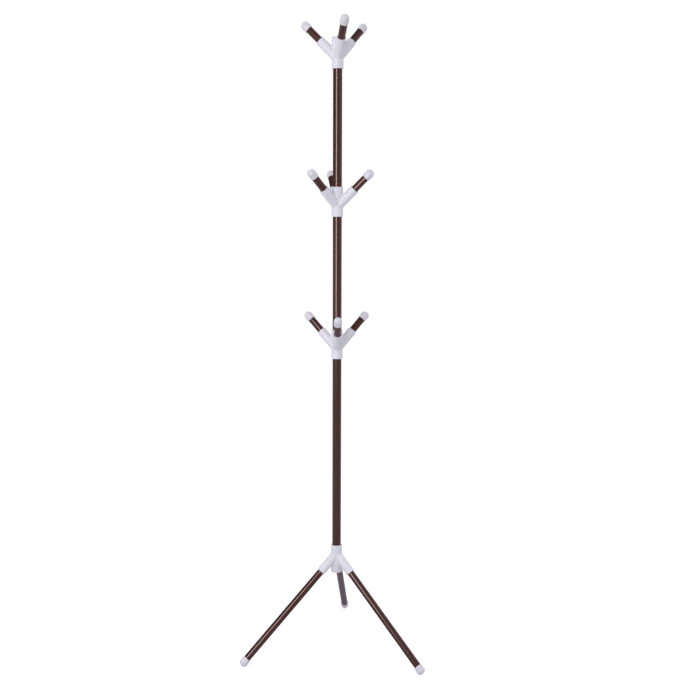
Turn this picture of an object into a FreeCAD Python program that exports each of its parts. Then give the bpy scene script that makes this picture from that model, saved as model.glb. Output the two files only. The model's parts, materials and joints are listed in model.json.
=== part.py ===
import FreeCAD, Part
import math
import os

import Sketcher

# Standing coat rack: four identical moulded connectors, three poles end to end,
# three splayed legs under the lowest connector and nine capped pegs on the others.
# Row frame: origin on the pole axis at floor level, +Z up, the rear leg along +Y.

SIZES = [
    ("pole_diameter", 25.4, "outside diameter of the three poles"),
    ("pole_wall", 1.0, "wall of the poles"),
    ("rod_diameter", 20.0, "outside diameter of the pegs and legs"),
    ("rod_wall", 0.8, "wall of the pegs and legs"),
    ("fit_gap", 0.05, "radial running gap of a tube in its socket"),
    ("collar_diameter", 31.8, "outside diameter of a connector's collar"),
    ("collar_short", 27.5, "short end of the collar, from where the axes meet"),
    ("collar_long", 55.0, "long end of the collar, from where the axes meet"),
    ("web_low", 12.0, "near face of the collar's inner web"),
    ("web_high", 15.0, "far face of the collar's inner web"),
    ("socket_diameter", 25.7, "outside diameter of a slanted socket"),
    ("socket_mouth", 70.4, "mouth of a slanted socket, along its axis"),
    ("socket_floor", 36.0, "floor of a slanted socket, along its axis"),
    ("socket_tilt", 46.0, "angle of a slanted socket from the pole axis"),
    ("root_round", 3.0, "blend where a slanted socket grows out of the collar"),
    ("mouth_round", 0.8, "rounding of every socket's outer rim"),
    ("mouth_bevel", 0.7, "lead-in bevel of every socket's inner rim"),
    ("cap_diameter", 23.2, "outside diameter of the caps and feet"),
    ("peg_rim", 115.2, "rim of a peg's cap, along the peg from where the axes meet"),
    ("cap_straight", 15.2, "straight part of a peg's cap"),
    ("cap_depth", 14.0, "how far a tube goes into its cap"),
    ("leg_rim", 391.5, "rim of a foot, along the leg from where the axes meet"),
    ("foot_length", 24.0, "length of a foot along the leg"),
    ("foot_round", 8.5, "rounding of a foot's end"),
    ("foot_flat", 0.8, "depth of the flat that stands on the floor"),
    ("lower_span", 609.0, "from the base connector to the lower connector"),
    ("hook_span", 402.5, "between one hook connector and the next"),
    ("plug_head", 1.6, "height of the top plug's head"),
    ("plug_round", 1.2, "rounding of the top plug's head"),
    ("plug_depth", 14.0, "depth of the top plug's spigot"),
    ("plug_wall", 2.0, "wall of the top plug's spigot"),
]

# Turn of each connector about the pole axis, in degrees from +X to its first socket.
BASE_TURN = 90.0
TURNS = {"lower": -83.1, "middle": -13.4, "top": -73.2}
LEG_SIDES = ["rear", "front_left", "front_right"]
PEG_SIDES = {
    "lower": ["front", "rear_right", "rear_left"],
    "middle": ["right", "rear", "front_left"],
    "top": ["front", "rear_right", "left"],
}
SOCKETS = 3
TOLERANCE = 1e-4

doc = FreeCAD.newDocument("coat_rack")
sheet = doc.addObject("Spreadsheet::Sheet", "Sizes")
for row, (alias, value, note) in enumerate(SIZES, start=1):
    sheet.set(f"A{row}", note)
    sheet.set(f"B{row}", str(value))
    sheet.setAlias(f"B{row}", alias)
doc.recompute()


def size(alias):
    """A driving size, in mm or degrees."""
    return float(sheet.get(alias))


def origin_plane(body, role):
    """One of the body's own origin planes or axes."""
    return next(f for f in body.Origin.OriginFeatures if f.Role == role)


def new_body(name):
    """An empty body labelled with its node name."""
    body = doc.addObject("PartDesign::Body", name)
    body.Label = name
    return body


def new_sketch(body, name, support, height=None):
    """A sketch flat on a plane, raised along the plane's normal by an expression."""
    sketch = body.newObject("Sketcher::SketchObject", f"{body.Name}_{name}")
    sketch.AttachmentSupport = [(support, "")]
    sketch.MapMode = "FlatFace"
    if height:
        sketch.setExpression("AttachmentOffset.Base.z", height)
    return sketch


def circles(sketch, *radii):
    """Circles about the sketch's origin, each with its radius bound to an expression."""
    for radius in radii:
        index = sketch.addGeometry(Part.Circle(FreeCAD.Vector(), FreeCAD.Vector(0, 0, 1), 5.0))
        sketch.addConstraint(Sketcher.Constraint("Coincident", index, 3, -1, 1))
        bound = sketch.addConstraint(Sketcher.Constraint("Radius", index, 5.0))
        sketch.setExpression(f"Constraints[{bound}]", radius)
    return sketch


def pad(body, name, sketch, length):
    """A pad along the sketch's normal."""
    feature = body.newObject("PartDesign::Pad", f"{body.Name}_{name}")
    feature.Profile = sketch
    feature.setExpression("Length", length)
    return feature


def pocket(body, name, sketch, length, upward=False):
    """A pocket against the sketch's normal, or along it if upward."""
    feature = body.newObject("PartDesign::Pocket", f"{body.Name}_{name}")
    feature.Profile = sketch
    feature.Reversed = upward
    feature.setExpression("Length", length)
    return feature


def around(body, name, original):
    """The feature repeated evenly about the body's Z axis."""
    pattern = body.newObject("PartDesign::PolarPattern", f"{body.Name}_{name}")
    pattern.Originals = [original]
    pattern.Axis = (origin_plane(body, "Z_Axis"), [""])
    pattern.Angle = 360.0
    pattern.Occurrences = SOCKETS
    body.Tip = pattern
    return pattern


def ring_edges(shape, radius, centres):
    """Names of the circular edges of one radius that are centred on the given points."""
    names = []
    for number, edge in enumerate(shape.Edges, start=1):
        curve = None if edge.Degenerated else edge.Curve
        if not isinstance(curve, Part.Circle) or abs(curve.Radius - radius) > TOLERANCE:
            continue
        if any(curve.Center.distanceToPoint(c) < TOLERANCE for c in centres):
            names.append(f"Edge{number}")
    return names


def crease_edges(shape):
    """Names of the curved edges that aren't circles, where one round form meets another."""
    names = []
    for number, edge in enumerate(shape.Edges, start=1):
        if not isinstance(edge.Curve, (Part.Circle, Part.Line)):
            names.append(f"Edge{number}")
    return names


def soften(body, kind, name, amount, find, *found_by):
    """A fillet or chamfer on the edges that find picks from the body as it stands."""
    doc.recompute()
    base = body.Tip
    names = find(base.Shape, *found_by)
    feature = body.newObject(f"PartDesign::{kind}", f"{body.Name}_{name}")
    feature.Base = (base, names)
    feature.setExpression("Radius" if kind == "Fillet" else "Size", amount)
    body.Tip = feature
    return feature


def along(turn, tilt, distance):
    """A point at a distance from the origin, tilted from +Z and turned from +X."""
    flat = distance * math.sin(math.radians(tilt))
    return FreeCAD.Vector(
        flat * math.cos(math.radians(turn)),
        flat * math.sin(math.radians(turn)),
        distance * math.cos(math.radians(tilt)),
    )


def aimed(turn, tilt, distance, height):
    """Placement whose +Z points along a slanted socket of a connector at this height."""
    spin = FreeCAD.Rotation(FreeCAD.Vector(0, 0, 1), turn)
    lean = FreeCAD.Rotation(FreeCAD.Vector(0, 1, 0), tilt)
    base = along(turn, tilt, distance) + FreeCAD.Vector(0, 0, height)
    return FreeCAD.Placement(base, spin.multiply(lean))


def slanted_plane(body, name, distance):
    """A plane square to a slanted socket, at a distance from where the axes meet."""
    plane = body.newObject("PartDesign::Plane", f"{body.Name}_{name}")
    plane.AttachmentSupport = [(origin_plane(body, "XY_Plane"), "")]
    plane.MapMode = "FlatFace"
    lean = FreeCAD.Rotation(FreeCAD.Vector(0, 1, 0), size("socket_tilt"))
    plane.AttachmentOffset = FreeCAD.Placement(FreeCAD.Vector(), lean)
    plane.setExpression("AttachmentOffset.Rotation.Angle", "Sizes.socket_tilt")
    plane.setExpression("AttachmentOffset.Base.x", f"{distance} * sin(Sizes.socket_tilt * 1 deg)")
    plane.setExpression("AttachmentOffset.Base.z", f"{distance} * cos(Sizes.socket_tilt * 1 deg)")
    return plane


def bore_radius(tube_kind):
    """Radius of the bore that takes a pole or a rod."""
    return size(f"{tube_kind}_diameter") / 2 + size("fit_gap")


def connector(name, placement):
    """Moulded connector: a collar for two poles and three slanted sockets round it."""
    body = new_body(name)
    floor_plane = origin_plane(body, "XY_Plane")
    low = "-Sizes.collar_short"
    high = "Sizes.collar_long"
    collar = new_sketch(body, "collar_outline", floor_plane, low)
    circles(collar, "Sizes.collar_diameter / 2")
    pad(body, "collar", collar, "Sizes.collar_short + Sizes.collar_long")
    root = slanted_plane(body, "socket_root", "0")
    socket = new_sketch(body, "socket_outline", root)
    circles(socket, "Sizes.socket_diameter / 2")
    around(body, "sockets", pad(body, "socket", socket, "Sizes.socket_mouth"))
    soften(body, "Fillet", "roots", "Sizes.root_round", crease_edges)
    rod_bore = "Sizes.rod_diameter / 2 + Sizes.fit_gap"
    pole_bore = "Sizes.pole_diameter / 2 + Sizes.fit_gap"
    mouth = slanted_plane(body, "socket_mouth", "Sizes.socket_mouth")
    hole = new_sketch(body, "rod_bore_outline", mouth)
    circles(hole, rod_bore)
    depth = "Sizes.socket_mouth - Sizes.socket_floor"
    around(body, "rod_bores", pocket(body, "rod_bore", hole, depth))
    lower = new_sketch(body, "short_bore_outline", floor_plane, low)
    circles(lower, pole_bore)
    pocket(body, "short_bore", lower, "Sizes.collar_short + Sizes.web_low", upward=True)
    upper = new_sketch(body, "long_bore_outline", floor_plane, high)
    circles(upper, pole_bore)
    pocket(body, "long_bore", upper, "Sizes.collar_long - Sizes.web_high")
    mouths = [
        along(k * 360.0 / SOCKETS, size("socket_tilt"), size("socket_mouth"))
        for k in range(SOCKETS)
    ]
    ends = [FreeCAD.Vector(0, 0, z) for z in (-size("collar_short"), size("collar_long"))]
    rims = (
        ("Fillet", "socket_rims", "Sizes.mouth_round", size("socket_diameter") / 2, mouths),
        ("Fillet", "collar_rims", "Sizes.mouth_round", size("collar_diameter") / 2, ends),
        ("Chamfer", "rod_leads", "Sizes.mouth_bevel", bore_radius("rod"), mouths),
        ("Chamfer", "pole_leads", "Sizes.mouth_bevel", bore_radius("pole"), ends),
    )
    for kind, rim, amount, radius, centres in rims:
        soften(body, kind, rim, amount, ring_edges, radius, centres)
    body.Placement = placement
    return body


def tube(name, outer, wall, length, placement):
    """Plain round tube with its first end on the body's XY plane."""
    body = new_body(name)
    outline = new_sketch(body, "outline", origin_plane(body, "XY_Plane"))
    circles(outline, f"{outer} / 2", f"{outer} / 2 - {wall}")
    pad(body, "length", outline, length)
    body.Placement = placement
    return body


def blind_bore(body):
    """The tube's hole in a cap, cut up from the rim."""
    hole = new_sketch(body, "bore_outline", origin_plane(body, "XY_Plane"))
    circles(hole, "Sizes.rod_diameter / 2 + Sizes.fit_gap")
    return pocket(body, "bore", hole, "Sizes.cap_depth", upward=True)


def profile_cap(sketch):
    """Half outline of a domed cap: rim, straight side, quarter circle, axis."""
    radius = size("cap_diameter") / 2
    straight = size("cap_straight")
    corner = FreeCAD.Vector(radius, 0, 0)
    shoulder = FreeCAD.Vector(radius, straight, 0)
    tip = FreeCAD.Vector(0, radius + straight, 0)
    sketch.addGeometry(Part.LineSegment(FreeCAD.Vector(), corner))
    sketch.addGeometry(Part.LineSegment(corner, shoulder))
    circle = Part.Circle(FreeCAD.Vector(0, straight, 0), FreeCAD.Vector(0, 0, 1), radius)
    sketch.addGeometry(Part.ArcOfCircle(circle, 0.0, math.pi / 2))
    sketch.addGeometry(Part.LineSegment(tip, FreeCAD.Vector()))
    sketch.addConstraint(Sketcher.Constraint("Coincident", 0, 1, -1, 1))
    sketch.addConstraint(Sketcher.Constraint("Coincident", 0, 2, 1, 1))
    sketch.addConstraint(Sketcher.Constraint("Tangent", 1, 2, 2, 1))
    sketch.addConstraint(Sketcher.Constraint("Coincident", 2, 2, 3, 1))
    sketch.addConstraint(Sketcher.Constraint("Coincident", 3, 2, 0, 1))
    sketch.addConstraint(Sketcher.Constraint("Horizontal", 0))
    sketch.addConstraint(Sketcher.Constraint("Vertical", 1))
    sketch.addConstraint(Sketcher.Constraint("Vertical", 3))
    sketch.addConstraint(Sketcher.Constraint("PointOnObject", 2, 3, -2))
    width = sketch.addConstraint(Sketcher.Constraint("DistanceX", 0, 1, 0, 2, radius))
    sketch.setExpression(f"Constraints[{width}]", "Sizes.cap_diameter / 2")
    side = sketch.addConstraint(Sketcher.Constraint("DistanceY", 1, 1, 1, 2, straight))
    sketch.setExpression(f"Constraints[{side}]", "Sizes.cap_straight")


def domed_cap(name, placement):
    """Domed end cap pulled over the end of a peg."""
    body = new_body(name)
    outline = new_sketch(body, "outline", origin_plane(body, "XZ_Plane"))
    profile_cap(outline)
    turned = body.newObject("PartDesign::Revolution", f"{name}_dome")
    turned.Profile = outline
    turned.ReferenceAxis = (outline, ["V_Axis"])
    turned.Angle = 360.0
    blind_bore(body)
    rim = [FreeCAD.Vector()]
    soften(body, "Fillet", "rim", "Sizes.mouth_round", ring_edges, size("cap_diameter") / 2, rim)
    body.Placement = placement
    return body


def floor_reach(sine, cosine):
    """Expression for the drop from a foot's rim to the floor, from its tilt's sine and cosine."""
    across = f"(Sizes.cap_diameter / 2 - Sizes.foot_round) * {sine}"
    down = f"(Sizes.foot_length - Sizes.foot_round) * {cosine}"
    return f"({across} + {down} + Sizes.foot_round - Sizes.foot_flat)"


def foot(name, placement):
    """Blunt round-edged cap on a leg, cut flat where it stands on the floor."""
    body = new_body(name)
    outline = new_sketch(body, "outline", origin_plane(body, "XY_Plane"))
    circles(outline, "Sizes.cap_diameter / 2")
    pad(body, "block", outline, "Sizes.foot_length")
    blind_bore(body)
    outer = size("cap_diameter") / 2
    end = [FreeCAD.Vector(0, 0, size("foot_length"))]
    soften(body, "Fillet", "end", "Sizes.foot_round", ring_edges, outer, end)
    rim = [FreeCAD.Vector()]
    soften(body, "Fillet", "rim", "Sizes.mouth_round", ring_edges, outer, rim)
    wedge = new_sketch(body, "floor_outline", origin_plane(body, "XZ_Plane"))
    reach = size("foot_length") + size("cap_diameter") / 2
    low = FreeCAD.Vector(reach, 0, 0)
    far = FreeCAD.Vector(reach, reach, 0)
    high = FreeCAD.Vector(0, reach, 0)
    for start, stop in ((low, far), (far, high), (high, low)):
        wedge.addGeometry(Part.LineSegment(start, stop))
    for first, second in ((0, 1), (1, 2), (2, 0)):
        wedge.addConstraint(Sketcher.Constraint("Coincident", first, 2, second, 1))
    wedge.addConstraint(Sketcher.Constraint("Vertical", 0))
    wedge.addConstraint(Sketcher.Constraint("Horizontal", 1))
    wedge.addConstraint(Sketcher.Constraint("PointOnObject", 0, 1, -1))
    wedge.addConstraint(Sketcher.Constraint("PointOnObject", 1, 2, -2))
    sine = "sin(Sizes.socket_tilt * 1 deg)"
    cosine = "cos(Sizes.socket_tilt * 1 deg)"
    for kind, line, start, stop, part_of in (
        ("DistanceY", 0, 1, 2, cosine),
        ("DistanceX", 1, 2, 1, sine),
    ):
        bound = wedge.addConstraint(Sketcher.Constraint(kind, line, start, line, stop, reach))
        wedge.setExpression(f"Constraints[{bound}]", f"{floor_reach(sine, cosine)} / {part_of}")
    cut = pocket(body, "floor_cut", wedge, "2 * Sizes.cap_diameter")
    cut.Midplane = True
    body.Tip = cut
    body.Placement = placement
    return body


def plug(name, placement):
    """Plug closing the top connector's empty pole socket."""
    body = new_body(name)
    floor_plane = origin_plane(body, "XY_Plane")
    head = new_sketch(body, "head_outline", floor_plane)
    circles(head, "Sizes.collar_diameter / 2")
    pad(body, "head", head, "Sizes.plug_head")
    spigot = new_sketch(body, "spigot_outline", floor_plane)
    circles(spigot, "Sizes.pole_diameter / 2", "Sizes.pole_diameter / 2 - Sizes.plug_wall")
    stem = pad(body, "spigot", spigot, "Sizes.plug_depth")
    stem.Reversed = True
    body.Tip = stem
    crown = [FreeCAD.Vector(0, 0, size("plug_head"))]
    outer = size("collar_diameter") / 2
    soften(body, "Fillet", "crown", "Sizes.plug_round", ring_edges, outer, crown)
    body.Placement = placement
    return body


def upright(turn, height):
    """Placement of a connector or pole standing the right way up."""
    spin = FreeCAD.Rotation(FreeCAD.Vector(0, 0, 1), turn)
    return FreeCAD.Placement(FreeCAD.Vector(0, 0, height), spin)


POLE = ("Sizes.pole_diameter", "Sizes.pole_wall")
ROD = ("Sizes.rod_diameter", "Sizes.rod_wall")
tilt = size("socket_tilt")
tilt_down = 180.0 - tilt
lean = math.radians(tilt)
foot_drop = (
    (size("cap_diameter") / 2 - size("foot_round")) * math.sin(lean)
    + (size("foot_length") - size("foot_round")) * math.cos(lean)
    + size("foot_round")
    - size("foot_flat")
)
base_height = size("leg_rim") * math.cos(lean) + foot_drop
heights = {"lower": base_height + size("lower_span")}
heights["middle"] = heights["lower"] + size("hook_span")
heights["top"] = heights["middle"] + size("hook_span")

parts = []
turned_over = FreeCAD.Rotation(FreeCAD.Vector(0, 1, 0), 180.0)
base_spin = FreeCAD.Rotation(FreeCAD.Vector(0, 0, 1), BASE_TURN + 180.0)
base_place = FreeCAD.Placement(FreeCAD.Vector(0, 0, base_height), base_spin.multiply(turned_over))
parts.append(connector("base_hub", base_place))

leg_length = "Sizes.leg_rim + Sizes.cap_depth - Sizes.socket_floor"
for k, side in enumerate(LEG_SIDES):
    turn = BASE_TURN + k * 360.0 / SOCKETS
    leg_place = aimed(turn, tilt_down, size("socket_floor"), base_height)
    parts.append(tube(f"leg_{side}", *ROD, leg_length, leg_place))
    parts.append(foot(f"foot_{side}", aimed(turn, tilt_down, size("leg_rim"), base_height)))

lower_length = "Sizes.lower_span + 2 * Sizes.web_low"
lower_place = upright(0, base_height - size("web_low"))
parts.append(tube("lower_pole", *POLE, lower_length, lower_place))
upper_length = "Sizes.hook_span - Sizes.web_high + Sizes.web_low"
for name, below in (("middle_pole", "lower"), ("upper_pole", "middle")):
    parts.append(tube(name, *POLE, upper_length, upright(0, heights[below] + size("web_high"))))

peg_length = "Sizes.peg_rim + Sizes.cap_depth - Sizes.socket_floor"
for level, height in heights.items():
    parts.append(connector(f"{level}_hook_hub", upright(TURNS[level], height)))
    for k, side in enumerate(PEG_SIDES[level]):
        turn = TURNS[level] + k * 360.0 / SOCKETS
        peg_place = aimed(turn, tilt, size("socket_floor"), height)
        parts.append(tube(f"peg_{level}_{side}", *ROD, peg_length, peg_place))
        cap_place = aimed(turn, tilt, size("peg_rim"), height)
        parts.append(domed_cap(f"cap_{level}_{side}", cap_place))
parts.append(plug("top_plug", upright(0, heights["top"] + size("collar_long"))))

doc.recompute()
faulty = [o.Name for o in doc.Objects if "Invalid" in o.State or "Error" in o.State]
if faulty:
    raise RuntimeError(f"features that did not rebuild: {faulty}")
for part in parts:
    if part.Shape.isNull() or not part.Shape.isValid() or len(part.Shape.Solids) != 1:
        raise RuntimeError(f"{part.Label} is not one valid solid")

os.makedirs("parts", exist_ok=True)
for part in parts:
    part.Shape.exportStep(f"parts/{part.Label}.step")
    box = part.Shape.BoundBox
    print(part.Label, round(part.Shape.Volume), [round(v, 2) for v in (box.ZMin, box.ZMax)])
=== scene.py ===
"""Standing coat rack: finishes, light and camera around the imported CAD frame."""

import json
import math

import bpy
from mathutils import Euler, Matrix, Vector

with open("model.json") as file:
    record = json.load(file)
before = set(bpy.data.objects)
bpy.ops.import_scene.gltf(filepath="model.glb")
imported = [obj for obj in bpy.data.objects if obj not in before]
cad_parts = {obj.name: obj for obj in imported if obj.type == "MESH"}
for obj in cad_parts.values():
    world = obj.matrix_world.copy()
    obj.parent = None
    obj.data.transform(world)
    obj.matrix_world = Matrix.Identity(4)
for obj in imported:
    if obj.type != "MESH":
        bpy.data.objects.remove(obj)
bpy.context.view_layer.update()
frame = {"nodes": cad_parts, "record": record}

# Camera: where the photograph was taken from, in metres and degrees. The heading turns about
# the pole axis from straight in front of the rack. The lens and the sensor are in millimetres.
CAMERA_HEADING = 5.56
CAMERA_ASIDE = -0.0111
CAMERA_DISTANCE = 2.832
CAMERA_HEIGHT = 1.342
CAMERA_YAW = 0.31
CAMERA_PITCH = 8.39
CAMERA_ROLL = 0.15
CAMERA_LENS = 52.95
SENSOR_WIDTH = 36.0
VIEW_REACH = 200.0

# Studio: the backdrop that the camera sees, and the glow that lights the rack. The glow grows
# towards GLOW_SIDE. A span is how far a direction points that way, from -1 to 1, and goes with
# the brightness at both its ends, once for reflections and once for all other light.
BACKDROP = (1.0, 1.0, 1.0)
GLOW = (0.97, 0.97, 1.0)
GLOW_SIDE = (0.8, 0.6, 0.0)
MIRRORED_SPAN = (-0.3, 0.8)
MIRRORED_GLOW = (0.0, 0.25)
AMBIENT_SPAN = (0.2, 1.0)
AMBIENT_GLOW = (0.76, 1.45)

# Floor: two close greys, what a reflection sees of it in front of the pole and behind it, the
# depth over which one turns into the other, and the lift that melts it into the backdrop.
FLOOR_SIDE = 60.0
FLOOR_LIGHT = (0.62, 0.62, 0.62)
FLOOR_SHADE = (0.60, 0.60, 0.60)
FLOOR_MIRRORED_FRONT = (0.12, 0.12, 0.12)
FLOOR_MIRRORED_BACK = (0.38, 0.35, 0.44)
FLOOR_SWEEP = (0.0, 0.15)
FLOOR_LIFT = 0.52

# Brown coating: its two tones, and the pigment grains that show in it and how much they do.
BROWN_DEEP = (0.052, 0.0205, 0.0170)
BROWN_WARM = (0.066, 0.0230, 0.0185)
BROWN_PIGMENT = (0.085, 0.036, 0.030)
BROWN_PIGMENT_SHARE = (0.0, 0.35)
BROWN_ROUGHNESS = (0.18, 0.21)
BROWN_SHADER = {
    "Specular Tint": (1.0, 0.70, 0.68, 1.0),
    "Specular IOR Level": 1.0,
    "IOR": 1.7,
    "Coat Weight": 0.3,
    "Coat Roughness": 0.15,
}

# White plastic: the specks that show in it and how much they do, and how far its roughness
# varies.
PLASTIC_SPECK = (0.60, 0.59, 0.66)
PLASTIC_SPECK_SHARE = (0.0, 0.10)
PLASTIC_ROUGHNESS_RANGE = 0.09
PLASTIC_SHADER = {
    "Specular IOR Level": 0.8,
    "Subsurface Weight": 0.12,
    "Subsurface Radius": (1.0, 0.9, 0.9),
    "Subsurface Scale": 0.0015,
}

# Where a noise's values mostly lie, and all the way from one thing to another.
NOISE_SPAN = (0.3, 0.7)
WHOLE = (0.0, 1.0)

# Sockets of a Mix node that mixes colours.
MIX_FACTOR = 0
MIX_FIRST = 6
MIX_SECOND = 7
MIX_RESULT = 2


def turned(x, y, degrees):
    """A point turned about the pole axis."""
    a = math.radians(degrees)
    return x * math.cos(a) - y * math.sin(a), x * math.sin(a) + y * math.cos(a)


def emptied(owner):
    """The node tree of a material or a world, without its nodes."""
    owner.use_nodes = True
    owner.node_tree.nodes.clear()
    return owner.node_tree


def node(tree, kind, **inputs):
    """A node with its inputs set, or linked where a socket is given."""
    made = tree.nodes.new(kind)
    for name, value in inputs.items():
        socket = made.inputs[name.replace("_", " ")]
        if isinstance(value, bpy.types.NodeSocket):
            tree.links.new(value, socket)
        else:
            socket.default_value = value
    return made


def position(tree):
    """The place on the piece, in its own metres."""
    return tree.nodes.new("ShaderNodeTexCoord").outputs["Object"]


def noise(tree, where, cycles, detail=2.0, rough=0.5):
    """Noise of so many cycles per metre, around 0.5."""
    return node(
        tree, "ShaderNodeTexNoise", Vector=where, Scale=cycles, Detail=detail, Roughness=rough
    ).outputs[0]


def remap(tree, value, span, ends):
    """A span of values mapped onto the range between two ends, and held at the ends."""
    return node(
        tree,
        "ShaderNodeMapRange",
        Value=value,
        From_Min=span[0],
        From_Max=span[1],
        To_Min=ends[0],
        To_Max=ends[1],
    ).outputs["Result"]


def blend(tree, factor, first, second):
    """Two colours mixed by a factor."""
    mix = tree.nodes.new("ShaderNodeMix")
    mix.data_type = "RGBA"
    tree.links.new(factor, mix.inputs[MIX_FACTOR])
    for index, value in ((MIX_FIRST, first), (MIX_SECOND, second)):
        if isinstance(value, bpy.types.NodeSocket):
            tree.links.new(value, mix.inputs[index])
        else:
            mix.inputs[index].default_value = (*value, 1.0)
    return mix.outputs[MIX_RESULT]


def bump(tree, height, strength, distance, under=None):
    """A bump on top of another one, its full height in metres."""
    made = node(tree, "ShaderNodeBump", Height=height, Strength=strength, Distance=distance)
    if under:
        tree.links.new(under, made.inputs["Normal"])
    return made.outputs["Normal"]


def output(tree, kind, shader):
    """The output of a material or a world."""
    out = tree.nodes.new(kind)
    tree.links.new(shader, out.inputs["Surface"])


def principled(tree, colour, roughness, normal, constants):
    """The shader at the end of a finish."""
    shader = node(
        tree, "ShaderNodeBsdfPrincipled", Base_Color=colour, Roughness=roughness, Normal=normal
    )
    for name, value in constants.items():
        shader.inputs[name].default_value = value
    output(tree, "ShaderNodeOutputMaterial", shader.outputs["BSDF"])


def coated_tube():
    """Dark brown gloss coating on drawn steel tube."""
    material = bpy.data.materials.new("brown_coating")
    tree = emptied(material)
    where = position(tree)
    tone = remap(tree, noise(tree, where, cycles=9.0, detail=3.0), NOISE_SPAN, WHOLE)
    colour = blend(tree, tone, BROWN_DEEP, BROWN_WARM)
    grains = noise(tree, where, cycles=900.0, detail=1.0)
    share = remap(tree, grains, NOISE_SPAN, BROWN_PIGMENT_SHARE)
    colour = blend(tree, share, colour, BROWN_PIGMENT)
    uneven = noise(tree, where, cycles=30.0, detail=4.0, rough=0.6)
    roughness = remap(tree, uneven, NOISE_SPAN, BROWN_ROUGHNESS)
    fine = noise(tree, where, cycles=300.0, detail=1.0)
    peel = bump(tree, fine, strength=0.01, distance=0.00005)
    slow = noise(tree, where, cycles=20.0, detail=1.0)
    normal = bump(tree, slow, strength=0.006, distance=0.0003, under=peel)
    principled(tree, colour, roughness, normal, BROWN_SHADER)
    return material


def moulded_plastic(name, light, shade, smoothest, grain):
    """White moulded plastic with a faint cool tint and a fine moulded grain."""
    material = bpy.data.materials.new(name)
    tree = emptied(material)
    where = position(tree)
    flow = remap(tree, noise(tree, where, cycles=28.0, detail=3.0), NOISE_SPAN, WHOLE)
    colour = blend(tree, flow, light, shade)
    specks = noise(tree, where, cycles=1400.0, detail=1.0)
    share = remap(tree, specks, NOISE_SPAN, PLASTIC_SPECK_SHARE)
    colour = blend(tree, share, colour, PLASTIC_SPECK)
    uneven = noise(tree, where, cycles=120.0, detail=4.0, rough=0.6)
    roughest = smoothest + PLASTIC_ROUGHNESS_RANGE
    roughness = remap(tree, uneven, NOISE_SPAN, (smoothest, roughest))
    moulding = noise(tree, where, cycles=1700.0, detail=3.0)
    fine = bump(tree, moulding, strength=grain, distance=0.00006)
    slow = noise(tree, where, cycles=50.0, detail=1.0)
    normal = bump(tree, slow, strength=0.02, distance=0.0003, under=fine)
    principled(tree, colour, roughness, normal, PLASTIC_SHADER)
    return material


def softbox(name, left, distance, height, width, tall, radiance, aim_height):
    """A rectangular softbox that faces the pole axis, so many degrees left of the camera."""
    data = bpy.data.lights.new(name, "AREA")
    data.shape = "RECTANGLE"
    data.size = width
    data.size_y = tall
    data.energy = math.pi * radiance * width * tall
    light = bpy.data.objects.new(name, data)
    bpy.context.scene.collection.objects.link(light)
    x, y = turned(0.0, -distance, CAMERA_HEADING - left)
    light.location = (x, y, height)
    aim = Vector((0.0, 0.0, aim_height)) - light.location
    light.rotation_euler = aim.to_track_quat("-Z", "Y").to_euler()
    return light


def background(tree, colour, strength):
    """The world's shader of one colour."""
    return node(
        tree, "ShaderNodeBackground", Color=(*colour, 1.0), Strength=strength
    ).outputs["Background"]


def either(tree, choice, no, yes):
    """One of two shaders, by whether a choice is 0 or 1."""
    made = tree.nodes.new("ShaderNodeMixShader")
    for socket, source in zip(made.inputs, (choice, no, yes)):
        tree.links.new(source, socket)
    return made.outputs["Shader"]


def studio_world():
    """White for the camera; softer, darker in front, for what lights the rack."""
    world = bpy.data.worlds.new("studio")
    bpy.context.scene.world = world
    tree = emptied(world)
    path = tree.nodes.new("ShaderNodeLightPath")
    direction = tree.nodes.new("ShaderNodeTexCoord").outputs["Generated"]
    side = node(tree, "ShaderNodeVectorMath", Vector=direction)
    side.operation = "DOT_PRODUCT"
    side.inputs[1].default_value = GLOW_SIDE
    towards = side.outputs["Value"]
    mirrored = background(tree, GLOW, remap(tree, towards, MIRRORED_SPAN, MIRRORED_GLOW))
    ambient = background(tree, GLOW, remap(tree, towards, AMBIENT_SPAN, AMBIENT_GLOW))
    seen = background(tree, BACKDROP, 1.0)
    lit = either(tree, path.outputs["Is Glossy Ray"], ambient, mirrored)
    output(tree, "ShaderNodeOutputWorld", either(tree, path.outputs["Is Camera Ray"], lit, seen))


def floor_material():
    """Pale grey, lifted to the backdrop's white where the camera sees it."""
    material = bpy.data.materials.new("pale_floor")
    tree = emptied(material)
    where = position(tree)
    path = tree.nodes.new("ShaderNodeLightPath")
    tone = remap(tree, noise(tree, where, cycles=3.0, detail=3.0), NOISE_SPAN, WHOLE)
    colour = blend(tree, tone, FLOOR_LIGHT, FLOOR_SHADE)
    depth = node(tree, "ShaderNodeSeparateXYZ", Vector=where).outputs["Y"]
    behind = remap(tree, depth, FLOOR_SWEEP, WHOLE)
    mirrored = blend(tree, behind, FLOOR_MIRRORED_FRONT, FLOOR_MIRRORED_BACK)
    colour = blend(tree, path.outputs["Is Glossy Ray"], colour, mirrored)
    matt = node(tree, "ShaderNodeBsdfDiffuse", Color=colour)
    lift = node(tree, "ShaderNodeMath", Value=path.outputs["Is Camera Ray"])
    lift.operation = "MULTIPLY"
    lift.inputs[1].default_value = FLOOR_LIFT
    shine = node(
        tree, "ShaderNodeEmission", Color=(*BACKDROP, 1.0), Strength=lift.outputs["Value"]
    )
    both = tree.nodes.new("ShaderNodeAddShader")
    tree.links.new(matt.outputs["BSDF"], both.inputs[0])
    tree.links.new(shine.outputs["Emission"], both.inputs[1])
    output(tree, "ShaderNodeOutputMaterial", both.outputs["Shader"])
    return material


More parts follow.
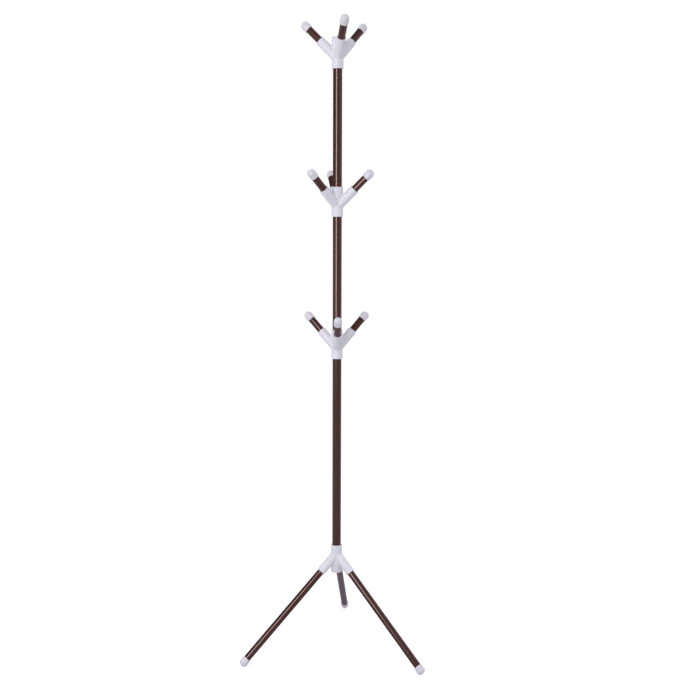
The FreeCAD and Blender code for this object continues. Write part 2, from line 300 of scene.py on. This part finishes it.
def studio_floor():
    """A pale floor that melts into the white backdrop."""
    half = FLOOR_SIDE / 2
    corners = [(-half, -half, 0.0), (half, -half, 0.0), (half, half, 0.0), (-half, half, 0.0)]
    mesh = bpy.data.meshes.new("floor")
    mesh.from_pydata(corners, [], [(0, 1, 2, 3)])
    mesh.materials.append(floor_material())
    floor = bpy.data.objects.new("floor", mesh)
    bpy.context.scene.collection.objects.link(floor)


def photo_camera():
    """The camera where the photograph was taken from."""
    data = bpy.data.cameras.new("camera")
    data.lens = CAMERA_LENS
    data.sensor_width = SENSOR_WIDTH
    data.clip_end = VIEW_REACH
    camera = bpy.data.objects.new("camera", data)
    bpy.context.scene.collection.objects.link(camera)
    x, y = turned(CAMERA_ASIDE, -CAMERA_DISTANCE, CAMERA_HEADING)
    camera.location = (x, y, CAMERA_HEIGHT)
    tilt = math.radians(90.0 - CAMERA_PITCH)
    aim = Euler((tilt, 0.0, math.radians(CAMERA_HEADING - CAMERA_YAW))).to_matrix()
    roll = Euler((0.0, 0.0, math.radians(CAMERA_ROLL))).to_matrix()
    camera.rotation_euler = (aim @ roll).to_euler()
    bpy.context.scene.camera = camera


finishes = {
    "brown_tube": coated_tube(),
    "white_connector": moulded_plastic(
        "satin_connector",
        light=(0.77, 0.755, 0.83),
        shade=(0.74, 0.73, 0.805),
        smoothest=0.42,
        grain=0.03,
    ),
    "white_cap": moulded_plastic(
        "smooth_cap",
        light=(0.71, 0.695, 0.765),
        shade=(0.69, 0.675, 0.745),
        smoothest=0.36,
        grain=0.02,
    ),
}
for part in frame["record"]["subparts"]:
    for slot in frame["nodes"][part["node"]].material_slots:
        slot.material = finishes[part["material_slot"]]

softbox(
    "strip_left",
    left=26.0,
    distance=2.2,
    height=1.40,
    width=0.78,
    tall=1.56,
    radiance=3.8,
    aim_height=1.40,
)
fill = softbox(
    "fill_left",
    left=62.0,
    distance=2.2,
    height=1.80,
    width=1.00,
    tall=1.00,
    radiance=2.4,
    aim_height=1.00,
)
fill.visible_glossy = False
softbox(
    "key_high",
    left=40.0,
    distance=1.9,
    height=2.8,
    width=0.7,
    tall=0.7,
    radiance=0.9,
    aim_height=0.9,
)
studio_world()
studio_floor()
photo_camera()
bpy.context.scene.view_settings.view_transform = "Standard"
